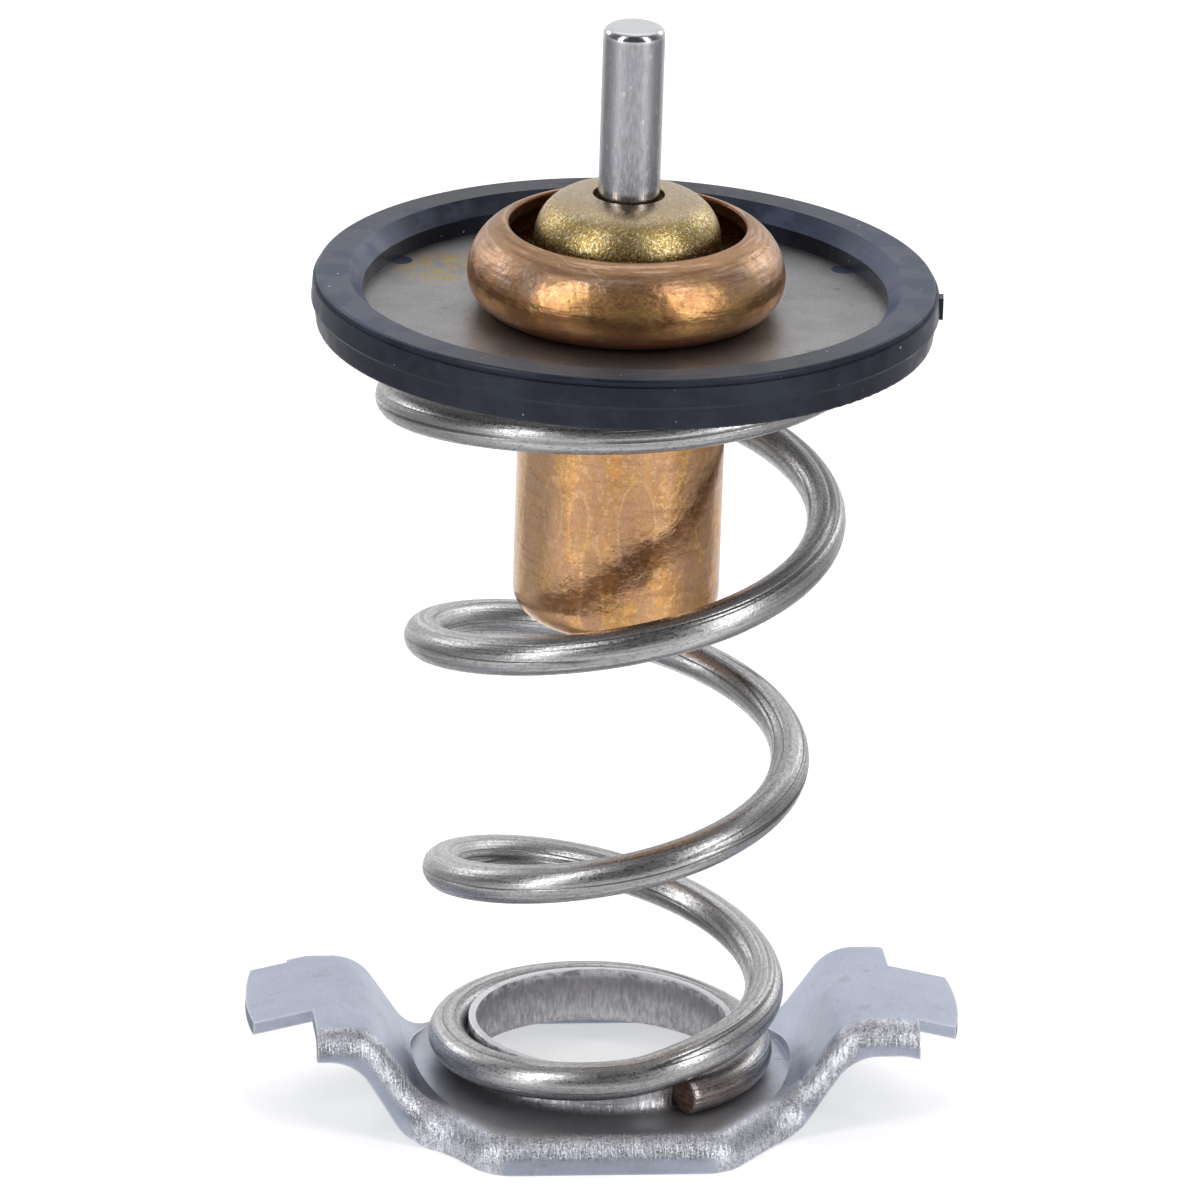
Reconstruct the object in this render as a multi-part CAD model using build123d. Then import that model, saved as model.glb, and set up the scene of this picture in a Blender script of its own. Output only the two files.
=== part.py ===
from build123d import *
import os
from math import acos, asin, atan2, cos, degrees, radians, sin, tan

os.makedirs("parts", exist_ok=True)

# All sizes in millimetres. Z runs up along the valve's centre line, and Z = 0 is
# the level of the bridge's lowest edges. The bridge's two arms lie along X.

# bridge: sheet, heights
SHEET = 0.85
BASE_TOP = 2.5
ARM_TOP = 7.85
NOTCHED_ARM_EDGE = 5.95
PLAIN_ARM_EDGE = 5.7
EDGE_BEND = 1.9
RISE_START = 12.1
RISE_END = 15.8
RISE_BEND = 3.2
SEAT_RADIUS = 12.6
NOTCHED_EDGE_SHIFT = 1.2
PLAIN_EDGE_SHIFT = 0.2
DROOP_START = 19.2
DROOP_ANGLE = 13.0

# bridge: plan outline
TIP_RADIUS = 23.6
BASE_HALF_WIDTH = 13.3
STRAIGHT_HALF_LENGTH = 7.8
CORNER_SHIFT = 0.7
NOTCHED_HALF_WIDTH = 8.0
PLAIN_HALF_WIDTH = 7.4
NOTCHED_CHAMFER_ANGLE = 57.0
PLAIN_CHAMFER_ANGLE = 51.0
PLAN_CORNER = 3.0
PLAN_WAIST = 5.0
NOTCH_LENGTH = 4.1
NOTCH_EDGE = 3.3
TONGUE_EDGE = 5.5
FLANGE_STOP = 3.2

# bridge: drawn collar
COLLAR_BORE = 8.3
COLLAR_WALL = 0.5
COLLAR_HEIGHT = 3.15
COLLAR_ROOT = 0.8
COLLAR_MOUTH = 1.1
COLLAR_FLAT = 0.3
COLLAR_EDGE = 0.1

# spring
WIRE = 2.55
COIL_START_ANGLE = -63.0
COIL_END_ANGLE = 1590.0
BASE_COIL_PLAY = 0.025
TOP_COIL_CLEARANCE = 1.15

# each row: angle along the wire, share of the way up, share of the way out from the base coil
COIL_STATIONS = [
    (COIL_START_ANGLE, 0.0, 0.0),
    (20.0, 0.0, 0.0),
    (77.0, 0.0075, 0.0),
    (168.0, 0.0105, 0.01),
    (275.0, 0.036, 0.02),
    (297.0, 0.053, 0.04),
    (355.0, 0.090, 0.12),
    (535.0, 0.250, 0.15),
    (715.0, 0.417, 0.34),
    (895.0, 0.580, 0.47),
    (1075.0, 0.756, 0.69),
    (1235.0, 0.900, 0.90),
    (1335.0, 0.975, 0.99),
    (1435.0, 1.0, 1.0),
    (COIL_END_ANGLE, 1.0, 1.0),
]
COIL_STEPS = 110

# valve plate and seal, heights measured from the plate's top face
PLATE_TOP = 55.5
PLATE_THICKNESS = 1.0
SEAL_RADIUS = 20.2
SEAL_EDGE = 1.2
SEAL_FLAT = 2.2
SEAL_CHAMFER = 0.95
SEAL_GRIP = 1.4
SEAL_TOP = 2.1
SEAL_CORNER = 0.2
SEAL_LIP = 1.1
SEAL_SETBACK = 0.1
SEAL_LEDGE = 1.6
SEAL_LEDGE_WIDTH = 0.2
SEAL_PARTING = 0.38
SEAL_PARTING_BULGE = 0.18
SEAL_PARTING_STEP = 0.25
SEAL_BOTTOM = -1.35
SEAL_TAPER = 0.2
SEAL_BOTTOM_CORNER = 0.3

# rubber lugs that lock the seal through holes in the plate, and the moulding's gate mark
LUGS = 3
LUG_RADIUS = 0.8
LUG_INSET = 0.3
LUG_ANGLE = 25.5
GATE_ANGLE = -6.5
GATE_WIDTH = 1.0
GATE_LOW = 0.0
GATE_HIGH = 1.45
GATE_PROUD = 0.4

# copper cup with its rolled collar
CUP_RADIUS = 6.75
CUP_WALL = 0.6
CUP_DEPTH = 21.2
CUP_CORNER = 2.0
CRIMP_RADIUS = 10.33
CRIMP_WALL = 0.85
CRIMP_FOOT_BEND = 2.35
CRIMP_CROWN_BEND = 3.6
CRIMP_MOUTH = 7.7
CRIMP_LIP = 0.3
CRIMP_LIP_DROP = 0.2

# guide, sleeve and rings inside the collar
GUIDE_TOP = 7.8
GUIDE_DOME_RADIUS = 6.07
GUIDE_DOME_BEND = 3.0
GUIDE_ROOT_BEND = 0.4
GUIDE_SEAT = 1.8
GUIDE_FLANGE = 1.2
GUIDE_MOUTH_PLAY = 0.32
GUIDE_MOUTH_DEPTH = 0.8
GUIDE_MOUTH_EDGE = 0.08
RING_OUTER = 3.6
RING_HEIGHT = 0.9
RING_EDGE = 0.1
BOOT_TOP_RADIUS = 3.3
BOOT_LOW_RADIUS = 2.9
BOOT_NECK = -1.0
BOOT_END_BEND = 1.4
BOOT_FLOOR = 1.2
WAX_BELOW = 3.0

# piston
PISTON = 2.0
PISTON_TOP = 19.15
PISTON_EDGE = 0.57
PISTON_FOOT = 0.6
RUNNING_FIT = 0.05

# dimensions that follow from those above
PLATE_RADIUS = SEAL_RADIUS - SEAL_EDGE
SEAL_UNDER_RADIUS = PLATE_RADIUS - SEAL_GRIP
SEAL_FLAT_RADIUS = SEAL_RADIUS - SEAL_FLAT
SEAL_LIP_RADIUS = SEAL_FLAT_RADIUS - SEAL_CHAMFER
BASE_COIL_RADIUS = COLLAR_BORE + COLLAR_WALL + BASE_COIL_PLAY + WIRE / 2.0
TOP_COIL_RADIUS = SEAL_UNDER_RADIUS - TOP_COIL_CLEARANCE - WIRE / 2.0
CUP_BORE = CUP_RADIUS - CUP_WALL
BOOT_LOW = WAX_BELOW - CUP_DEPTH
PISTON_BORE = PISTON + RUNNING_FIT
PISTON_LOW = BOOT_LOW + BOOT_FLOOR
CUT_REACH = 2.0 * TIP_RADIUS

# how closely points and directions are told apart
SAME_PLACE = 0.01
LOOKS_UP = 0.3
UPRIGHT = 0.02
END_ON = 0.99


def turned(lines, rounds=()):
    """Solid of revolution about Z from a closed section, with some of its corners rounded.

    The section is drawn as (radius, height). Each round is a corner and its bend.
    """
    face = make_face(lines)
    for corner, bend in rounds:
        vertex = face.vertices().sort_by_distance(corner)[0]
        face = fillet(vertex, bend)
    return revolve(Plane.XZ * face, Axis.Z, 360)


def plan_outline(inset):
    """Outline of the bridge seen from above, moved inwards by the inset.

    Half a turn brings it onto itself, so only its front is worked out: the plain side
    of the right arm and the notched side of the left arm.
    """
    half = BASE_HALF_WIDTH - inset
    plain = PLAIN_HALF_WIDTH - inset
    notched = NOTCHED_HALF_WIDTH - inset
    right = STRAIGHT_HALF_LENGTH - CORNER_SHIFT - inset * tan(radians(PLAIN_CHAMFER_ANGLE / 2.0))
    left = STRAIGHT_HALF_LENGTH + CORNER_SHIFT - inset * tan(radians(NOTCHED_CHAMFER_ANGLE / 2.0))
    right_waist = (right + (half - plain) / tan(radians(PLAIN_CHAMFER_ANGLE)), -plain)
    left_waist = (-left - (half - notched) / tan(radians(NOTCHED_CHAMFER_ANGLE)), -notched)
    front = [(CUT_REACH, -plain), right_waist, (right, -half)]
    front += [(-left, -half), left_waist, (-CUT_REACH, -notched)]
    face = make_face(Polyline(*front, *[(-x, -y) for x, y in front], close=True))
    wide = [v for v in face.vertices() if abs(abs(v.Y) - half) < SAME_PLACE]
    face = fillet(wide, PLAN_CORNER - inset)
    spots = [(side * x, side * y) for x, y in (right_waist, left_waist) for side in (1, -1)]
    waists = [face.vertices().sort_by_distance(spot)[0] for spot in spots]
    return fillet(waists, PLAN_WAIST + inset)


def band(right, left, bend):
    """Section extruded along Y: a right half and a left half, both drawn outwards from the middle."""
    far = right[-1][0]
    other = [(-x, z) for x, z in reversed(left)]
    face = make_face(Polyline(*right, *other, close=True))
    turns = [v for v in face.vertices() if abs(v.X) < far - SAME_PLACE]
    return extrude(Plane.XZ * fillet(turns, bend), CUT_REACH, both=True)


def side_profile(drop):
    """Deep body under the sheet's top face, or under the same face dropped by the sheet."""
    rise = atan2(ARM_TOP - BASE_TOP, RISE_END - RISE_START)
    droop = radians(DROOP_ANGLE)
    start = RISE_START + drop * tan(rise / 2.0)
    end = RISE_END + drop * tan(rise / 2.0)
    turn = DROOP_START - drop * tan(droop / 2.0)
    low = BASE_TOP - drop
    high = ARM_TOP - drop
    tip = high - (CUT_REACH - turn) * tan(droop)
    half = [(start, low), (end, high), (turn, high), (CUT_REACH, tip), (CUT_REACH, -CUT_REACH)]
    return band(half, half, RISE_BEND)


def flange_line(edge, shift):
    """Lower edge of an arm's flange at a height, with its slope moved outwards by the shift."""
    tip = edge - (CUT_REACH - DROOP_START) * tan(radians(DROOP_ANGLE))
    rise = [(RISE_START + shift, 0.0), (RISE_END + shift, edge)]
    return rise + [(DROOP_START + shift, edge), (CUT_REACH, tip), (CUT_REACH, CUT_REACH)]


def edge_limit():
    """Everything above the flanges' lower edges, which differ on the plain and notched sides."""
    plain = flange_line(PLAIN_ARM_EDGE, PLAIN_EDGE_SHIFT)
    notched = flange_line(NOTCHED_ARM_EDGE, NOTCHED_EDGE_SHIFT)
    size = 3 * CUT_REACH
    front_half = Box(size, size, size, align=(Align.CENTER, Align.MAX, Align.CENTER))
    front = band(plain, notched, RISE_BEND) & front_half
    return front + Rot(0, 0, 180) * front


def bridge_shell(inset, bend):
    """Body under the bridge's skin: long upper edges rounded over, and a round seat for the spring."""
    prism = extrude(plan_outline(inset), CUT_REACH, both=True)
    body = (side_profile(inset) & prism).solids()[0]
    tops = [f for f in body.faces() if f.normal_at().Z > LOOKS_UP]
    upright = [f for f in body.faces() if abs(f.normal_at().Z) < UPRIGHT]
    walls = [f for f in upright if abs(f.normal_at().X) < END_ON]
    wall_edges = [e for f in walls for e in f.edges()]
    long_edges = [e for f in tops for e in f.edges() if any(e.is_same(w) for w in wall_edges)]
    body = body.fillet(bend, long_edges)
    seat = Cylinder(SEAT_RADIUS + inset, CUT_REACH, align=(Align.CENTER, Align.CENTER, Align.MIN))
    return body - Pos(0, 0, BASE_TOP - inset) * seat


def bridge_notches():
    """Material removed at the two tips: a deep notch on one side, a short step on the other."""
    block = Box(CUT_REACH, CUT_REACH, CUT_REACH)
    half = CUT_REACH / 2.0
    notch = Pos(NOTCH_LENGTH - TIP_RADIUS - half, -NOTCH_EDGE - half, 0) * block
    step = Pos(FLANGE_STOP - TIP_RADIUS - half, TONGUE_EDGE + half, 0) * block
    cuts = notch + step
    return cuts + Rot(0, 0, 180) * cuts


def bridge_collar():
    """Upstand drawn out of the sheet round the bore, with its root radius."""
    outer = COLLAR_BORE + COLLAR_WALL
    foot = outer + COLLAR_ROOT + COLLAR_FLAT
    under = BASE_TOP - SHEET
    rim = BASE_TOP + COLLAR_HEIGHT
    mouth = (COLLAR_BORE, under)
    root = (outer, BASE_TOP)
    outer_rim = (outer, rim)
    inner_rim = (COLLAR_BORE, rim)
    section = Polyline(mouth, (foot, under), (foot, BASE_TOP), root, outer_rim, inner_rim, close=True)
    rounds = [(mouth, COLLAR_MOUTH), (root, COLLAR_ROOT)]
    rounds += [(outer_rim, COLLAR_EDGE), (inner_rim, COLLAR_EDGE)]
    return turned(section, rounds)


def bridge_bracket():
    outside = bridge_shell(0.0, EDGE_BEND) & edge_limit()
    body = outside - bridge_shell(SHEET, EDGE_BEND - SHEET)
    body = body & Cylinder(TIP_RADIUS, CUT_REACH)
    body = body - bridge_notches()
    body = body - Cylinder(COLLAR_BORE + COLLAR_WALL + COLLAR_ROOT + COLLAR_FLAT, CUT_REACH)
    return body + bridge_collar()


def smooth(stations, x):
    """Monotone cubic through (x, y) stations, level at both ends."""
    xs = [s[0] for s in stations]
    ys = [s[1] for s in stations]
    slopes = [(ys[i + 1] - ys[i]) / (xs[i + 1] - xs[i]) for i in range(len(xs) - 1)]
    grads = [0.0]
    for before, after in zip(slopes[:-1], slopes[1:]):
        grads.append(0.0 if before * after <= 0 else 2.0 * before * after / (before + after))
    grads.append(0.0)
    i = 0
    while i < len(slopes) - 1 and x > xs[i + 1]:
        i += 1
    step = xs[i + 1] - xs[i]
    t = (x - xs[i]) / step
    near = (1 + 2 * t) * (1 - t) ** 2 * ys[i] + t * (1 - t) ** 2 * step * grads[i]
    far = t ** 2 * (3 - 2 * t) * ys[i + 1] + t ** 2 * (t - 1) * step * grads[i + 1]
    return near + far


def coil_point(angle):
    """Centre of the wire at an angle, in degrees, along it."""
    low = BASE_TOP + WIRE / 2.0
    high = PLATE_TOP - PLATE_THICKNESS - WIRE / 2.0
    up = smooth([(a, share) for a, share, _ in COIL_STATIONS], angle)
    out = smooth([(a, share) for a, _, share in COIL_STATIONS], angle)
    radius = BASE_COIL_RADIUS + (TOP_COIL_RADIUS - BASE_COIL_RADIUS) * out
    turn = radians(angle)
    return (radius * cos(turn), radius * sin(turn), low + (high - low) * up)


def main_spring():
    """Right-hand compression spring with closed end coils and a widening body."""
    turn = (COIL_END_ANGLE - COIL_START_ANGLE) / COIL_STEPS
    path = Spline(*[coil_point(COIL_START_ANGLE + turn * i) for i in range(COIL_STEPS + 1)])
    section = Plane(origin=path @ 0, z_dir=path % 0) * Circle(WIRE / 2.0)
    return sweep(section, path=path, is_frenet=False)


def seal_lugs():
    """Rubber that fills the plate's locking holes."""
    lug = Cylinder(LUG_RADIUS, PLATE_THICKNESS, align=(Align.CENTER, Align.CENTER, Align.MAX))
    lug = Pos(SEAL_LIP_RADIUS - LUG_INSET, 0, 0) * lug
    return [Rot(0, 0, LUG_ANGLE + 360.0 * i / LUGS) * lug for i in range(LUGS)]


def valve_plate():
    under = -PLATE_THICKNESS
    corners = [(CUP_RADIUS, under), (PLATE_RADIUS, under), (PLATE_RADIUS, 0.0), (CUP_RADIUS, 0.0)]
    return Pos(0, 0, PLATE_TOP) * (turned(Polyline(*corners, close=True)) - seal_lugs())


def seal_ring():
    """Moulded ring round the plate's edge, with a chamfered lip and a parting line outside."""
    land = SEAL_RADIUS - SEAL_SETBACK
    top_corner = (land, SEAL_TOP)
    bottom_corner = (SEAL_RADIUS - SEAL_TAPER, SEAL_BOTTOM)
    corners = [(PLATE_RADIUS, 0.0), (SEAL_LIP_RADIUS, 0.0), (SEAL_LIP_RADIUS, SEAL_LIP)]
    corners += [(SEAL_FLAT_RADIUS, SEAL_TOP), top_corner]
    corners += [(land, SEAL_LEDGE), (land + SEAL_LEDGE_WIDTH, SEAL_LEDGE)]
    corners += [(SEAL_RADIUS + SEAL_PARTING_BULGE, SEAL_PARTING)]
    corners += [(SEAL_RADIUS, SEAL_PARTING - SEAL_PARTING_STEP), bottom_corner]
    corners += [(SEAL_UNDER_RADIUS, SEAL_BOTTOM), (SEAL_UNDER_RADIUS, -PLATE_THICKNESS)]
    corners += [(PLATE_RADIUS, -PLATE_THICKNESS)]
    rounds = [(top_corner, SEAL_CORNER), (bottom_corner, SEAL_BOTTOM_CORNER)]
    ring = turned(Polyline(*corners, close=True), rounds)
    gate = Box(GATE_PROUD, GATE_WIDTH, GATE_HIGH - GATE_LOW, align=(Align.MIN, Align.CENTER, Align.MIN))
    ring += Rot(0, 0, GATE_ANGLE) * Pos(SEAL_RADIUS, 0, GATE_LOW) * gate
    return Pos(0, 0, PLATE_TOP) * (ring + seal_lugs())


def foot_arc(depth, start, stop):
    """Lower bend of the rolled collar at a depth under its outer face, angles from level."""
    centre = (CRIMP_RADIUS - CRIMP_FOOT_BEND, CRIMP_FOOT_BEND)
    return CenterArc(centre, CRIMP_FOOT_BEND - depth, start, stop - start)


def crown_arc(depth, start, stop):
    """Upper bend of the rolled collar at a depth under its outer face, angles from level."""
    centre = (CRIMP_RADIUS - CRIMP_CROWN_BEND, CRIMP_FOOT_BEND)
    return CenterArc(centre, CRIMP_CROWN_BEND - depth, start, stop - start)


def crown_angle(depth, radius):
    """Angle on the upper bend at which it reaches a radius."""
    return degrees(acos((radius - CRIMP_RADIUS + CRIMP_CROWN_BEND) / (CRIMP_CROWN_BEND - depth)))


def inner_angle(bend, height):
    """Angle on the inner side of a bend at which it reaches a height."""
    return degrees(asin((height - CRIMP_FOOT_BEND) / (bend - CRIMP_WALL)))


def wax_cup():
    floor = CUP_WALL - CUP_DEPTH
    outer_low = (CUP_RADIUS, -CUP_DEPTH)
    inner_low = (CUP_BORE, floor)
    foot = foot_arc(0.0, -90.0, 0.0)
    crown = crown_arc(0.0, 0.0, crown_angle(0.0, CRIMP_MOUTH + CRIMP_LIP))
    rim = crown @ 1
    inner_crown = crown_arc(CRIMP_WALL, 0.0, crown_angle(CRIMP_WALL, CRIMP_MOUTH))
    lip = (CRIMP_MOUTH, rim.Y)
    lip_end = (CRIMP_MOUTH, rim.Y - CRIMP_LIP_DROP)
    inner_foot = foot_arc(CRIMP_WALL, -90.0, 0.0)
    outside = Polyline((0.0, -CUP_DEPTH), outer_low, (CUP_RADIUS, 0.0), foot @ 0)
    mouth = Polyline(rim, lip, lip_end, inner_crown @ 1)
    inside = Polyline(inner_foot @ 0, (CUP_BORE, CRIMP_WALL), inner_low, (0.0, floor), (0.0, -CUP_DEPTH))
    rounds = [(outer_low, CUP_CORNER), (inner_low, CUP_CORNER - CUP_WALL), (lip, CRIMP_LIP / 2.0)]
    section = [outside, foot, crown, mouth, inner_crown, inner_foot, inside]
    return Pos(0, 0, PLATE_TOP) * turned(section, rounds)


def boot_side():
    """Corners of the sleeve's outside, from its closed end up to its flange."""
    body = [(0.0, BOOT_LOW), (BOOT_LOW_RADIUS, BOOT_LOW), (BOOT_TOP_RADIUS, BOOT_NECK)]
    return body + [(BOOT_TOP_RADIUS, CRIMP_WALL)]


def rubber_boot():
    """Sleeve round the pin, with a flange that the rolled collar grips."""
    edge = foot_arc(CRIMP_WALL, -90.0, inner_angle(CRIMP_FOOT_BEND, GUIDE_SEAT))
    inner_low = (PISTON_BORE, PISTON_LOW)
    outside = Polyline(*boot_side(), edge @ 0)
    inside = Polyline(edge @ 1, (PISTON_BORE, GUIDE_SEAT), inner_low, (0.0, PISTON_LOW), (0.0, BOOT_LOW))
    rounds = [((BOOT_LOW_RADIUS, BOOT_LOW), BOOT_END_BEND), (inner_low, PISTON_FOOT)]
    return Pos(0, 0, PLATE_TOP) * turned([outside, edge, inside], rounds)


def wax_charge():
    """Wax that fills the cup round the sleeve."""
    low = CUP_WALL - CUP_DEPTH
    corners = [(0.0, low), (CUP_BORE, low), (CUP_BORE, CRIMP_WALL)] + list(reversed(boot_side()))
    rounds = [((CUP_BORE, low), CUP_CORNER - CUP_WALL), ((BOOT_LOW_RADIUS, BOOT_LOW), BOOT_END_BEND)]
    return Pos(0, 0, PLATE_TOP) * turned(Polyline(*corners, close=True), rounds)


def backup_ring():
    top = GUIDE_SEAT + RING_HEIGHT
    corners = [(PISTON_BORE, GUIDE_SEAT), (RING_OUTER, GUIDE_SEAT), (RING_OUTER, top), (PISTON_BORE, top)]
    return Pos(0, 0, PLATE_TOP) * turned(Polyline(*corners, close=True), [(corners[2], RING_EDGE)])


def guide():
    """Domed guide for the pin, with a flange under the rolled collar and a seat for the backup ring."""
    flange_top = GUIDE_SEAT + GUIDE_FLANGE
    ring_top = GUIDE_SEAT + RING_HEIGHT
    mouth = PISTON + GUIDE_MOUTH_PLAY
    mouth_floor = GUIDE_TOP - GUIDE_MOUTH_DEPTH
    low_edge = foot_arc(CRIMP_WALL, inner_angle(CRIMP_FOOT_BEND, GUIDE_SEAT), 0.0)
    high_edge = crown_arc(CRIMP_WALL, 0.0, inner_angle(CRIMP_CROWN_BEND, flange_top))
    root = (GUIDE_DOME_RADIUS, flange_top)
    shoulder = (GUIDE_DOME_RADIUS, GUIDE_TOP)
    mouth_edge = (mouth, GUIDE_TOP)
    seat_corner = (RING_OUTER, ring_top)
    bore_top = (PISTON_BORE, mouth_floor)
    outside = Polyline(high_edge @ 1, root, shoulder, mouth_edge, (mouth, mouth_floor), bore_top)
    ring_seat = [(PISTON_BORE, ring_top), seat_corner, (RING_OUTER, GUIDE_SEAT)]
    inside = Polyline(bore_top, *ring_seat, low_edge @ 0)
    rounds = [(root, GUIDE_ROOT_BEND), (shoulder, GUIDE_DOME_BEND)]
    rounds += [(mouth_edge, GUIDE_MOUTH_EDGE), (seat_corner, RING_EDGE)]
    return Pos(0, 0, PLATE_TOP) * turned([low_edge, high_edge, outside, inside], rounds)


def piston():
    corners = [(0.0, PISTON_LOW), (PISTON, PISTON_LOW), (PISTON, PISTON_TOP), (0.0, PISTON_TOP)]
    rounds = [(corners[1], PISTON_FOOT), (corners[2], PISTON_EDGE)]
    return Pos(0, 0, PLATE_TOP) * turned(Polyline(*corners, close=True), rounds)


PIECES = [bridge_bracket, main_spring, valve_plate, seal_ring, wax_cup]
PIECES += [wax_charge, rubber_boot, backup_ring, guide, piston]
for piece in PIECES:
    export_step(piece(), f"parts/{piece.__name__}.step")
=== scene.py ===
from math import cos, pi, radians, sin

import bpy
import numpy as np
from mathutils import Matrix, Vector


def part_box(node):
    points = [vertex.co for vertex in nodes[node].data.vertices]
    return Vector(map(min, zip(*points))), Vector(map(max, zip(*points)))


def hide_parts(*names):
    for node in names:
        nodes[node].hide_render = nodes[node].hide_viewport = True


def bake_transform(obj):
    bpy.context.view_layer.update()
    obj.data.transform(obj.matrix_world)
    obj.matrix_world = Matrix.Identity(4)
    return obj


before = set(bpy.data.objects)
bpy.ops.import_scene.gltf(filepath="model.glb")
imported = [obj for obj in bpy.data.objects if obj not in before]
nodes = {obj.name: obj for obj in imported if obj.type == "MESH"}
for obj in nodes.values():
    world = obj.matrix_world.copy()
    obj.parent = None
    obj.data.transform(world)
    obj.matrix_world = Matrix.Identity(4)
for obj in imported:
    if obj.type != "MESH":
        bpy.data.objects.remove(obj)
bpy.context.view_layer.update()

MM = 0.001

# heights that the finishes change at, read from the frame
PLATE_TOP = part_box("valve_plate")[1][2] / MM
PIN_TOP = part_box("piston")[1][2] / MM
GUIDE_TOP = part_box("guide")[1][2] / MM
SEAT_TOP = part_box("main_spring")[0][2] / MM

# places in millimetres that the finishes change at: heights, distances from the centre line and
# along the arms, the length of spring wire that is burnt, and the plate's stain
COLLAR_TOP = SEAT_TOP + 3.0
COLLAR_REACH = 9.5
ARM_FOOT = 13.0
# where the painted shade on the seat under the spring fades out along the arms
SEAT_SHADE_END = 9.5
BURNT_WIRE = 7.5
GOLD_STAIN_PLACE = (-11.0, 8.0, 0.0)
GOLD_STAIN_REACH = 4.2

# camera: fitted to the round edges in the picture, which is 1200 pixels wide
PICTURE = 1200.0
SENSOR = 36.0
FOCAL_PIXELS = 12230.0
DISTANCE = 0.800
AZIMUTH = radians(-6.5)
ELEVATION = radians(20.6)
ROLL = radians(1.9)
AIM_HEIGHT = 35.16 * MM
AIM_SIDE = -1.0 * MM
NEAREST = 0.01
FARTHEST = 20.0

# stage and light
FLOOR_SIZE = 6.0
FLOOR_COLOUR = (0.82, 0.82, 0.83)
FLOOR_GLOW = 0.50
FLOOR_GLOW_IN_METAL = 0.30

# brightness of the floor and the room as metal mirrors them, from behind (0) round to the front (1)
FLOOR_LEVELS = [(0.0, 1.0), (0.10, 0.80), (0.25, 0.38), (0.50, 0.42), (0.66, 0.62)]
FLOOR_LEVELS += [(0.82, 1.0), (0.93, 0.84), (1.0, 0.78)]
ROOM_LEVELS = [(0.0, 0.92), (0.15, 0.86), (0.30, 0.45), (0.45, 0.18), (0.66, 0.10)]
ROOM_LEVELS += [(0.82, 0.22), (0.95, 0.07), (1.0, 0.07)]
LAMP_AIM = (0.0, 0.0, 0.045)
LAMPS = [
    ("softbox_left", (-0.62, -0.40, 0.40), (0.17, 0.90), 3.0),
    ("softbox_right", (0.52, -0.50, 0.40), (0.18, 0.90), 3.0),
    ("softbox_top", (0.0, 0.20, 1.10), (1.60, 1.20), 1.9),
    ("softbox_back_left", (-0.61, 0.51, 0.37), (0.30, 0.30), 0.6),
    ("softbox_back_right", (0.61, 0.51, 0.37), (0.30, 0.30), 0.5),
]


def add_camera():
    back = Vector((sin(AZIMUTH) * cos(ELEVATION), -cos(AZIMUTH) * cos(ELEVATION), sin(ELEVATION)))
    right = Vector((cos(AZIMUTH), sin(AZIMUTH), 0.0))
    up = back.cross(right)
    aim = Vector((0.0, 0.0, AIM_HEIGHT)) + right * AIM_SIDE
    turned_right = right * cos(ROLL) + up * sin(ROLL)
    turned_up = up * cos(ROLL) - right * sin(ROLL)
    matrix = Matrix((turned_right, turned_up, back)).transposed().to_4x4()
    matrix.translation = aim + back * DISTANCE
    data = bpy.data.cameras.new("camera")
    data.sensor_width = SENSOR
    data.sensor_fit = "HORIZONTAL"
    data.lens = FOCAL_PIXELS * SENSOR / PICTURE
    data.clip_start = NEAREST
    data.clip_end = FARTHEST
    camera = bpy.data.objects.new("camera", data)
    bpy.context.scene.collection.objects.link(camera)
    camera.matrix_world = matrix
    bpy.context.scene.camera = camera


# small helpers for the node trees
def new_material(name):
    material = bpy.data.materials.new(name)
    material.use_nodes = True
    tree = material.node_tree
    return material, tree, tree.nodes["Principled BSDF"]


def add_node(tree, kind, **values):
    node = tree.nodes.new(kind)
    for name, value in values.items():
        setattr(node, name, value)
    return node


def feed(tree, source, target):
    """Link a socket, or set the target's own value from a number, a place or a colour."""
    if isinstance(source, bpy.types.NodeSocket):
        tree.links.new(source, target)
    elif target.type == "RGBA":
        target.default_value = (*source, 1.0)
    else:
        target.default_value = source


def calc(tree, operation, *values):
    node = add_node(tree, "ShaderNodeMath", operation=operation)
    for value, target in zip(values, node.inputs):
        feed(tree, value, target)
    return node.outputs[0]


def times(tree, first, second):
    return calc(tree, "MULTIPLY", first, second)


def plus(tree, first, second):
    return calc(tree, "ADD", first, second)


def minus(tree, first, second):
    return calc(tree, "SUBTRACT", first, second)


def calc_place(tree, operation, *values):
    node = add_node(tree, "ShaderNodeVectorMath", operation=operation)
    for value, target in zip(values, node.inputs):
        feed(tree, value, target)
    return node.outputs["Vector"]


def measure(tree, operation, *places):
    """Number worked out from places: a length, a distance or a dot product."""
    node = add_node(tree, "ShaderNodeVectorMath", operation=operation)
    for place, target in zip(places, node.inputs):
        feed(tree, place, target)
    return node.outputs["Value"]


def stretched(tree, place, x, y, z):
    return calc_place(tree, "MULTIPLY", place, (x, y, z))


def scaled(tree, place, share):
    node = add_node(tree, "ShaderNodeVectorMath", operation="SCALE")
    feed(tree, place, node.inputs[0])
    feed(tree, share, node.inputs["Scale"])
    return node.outputs["Vector"]


def remap(tree, value, start, end, low=0.0, high=1.0):
    """Smooth step from low to high as the value goes from start to end."""
    node = add_node(tree, "ShaderNodeMapRange", interpolation_type="SMOOTHSTEP")
    names = ("Value", "From Min", "From Max", "To Min", "To Max")
    for source, name in zip((value, start, end, low, high), names):
        feed(tree, source, node.inputs[name])
    return node.outputs["Result"]


def mix_colours(tree, share, first, second):
    node = add_node(tree, "ShaderNodeMix", data_type="RGBA")
    feed(tree, share, node.inputs[0])
    feed(tree, first, node.inputs[6])
    feed(tree, second, node.inputs[7])
    return node.outputs[2]


def tint(tree, colour, mask, share, over):
    """Lay another colour over a share of what a mask shows."""
    return mix_colours(tree, times(tree, mask, share), colour, over)


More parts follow.
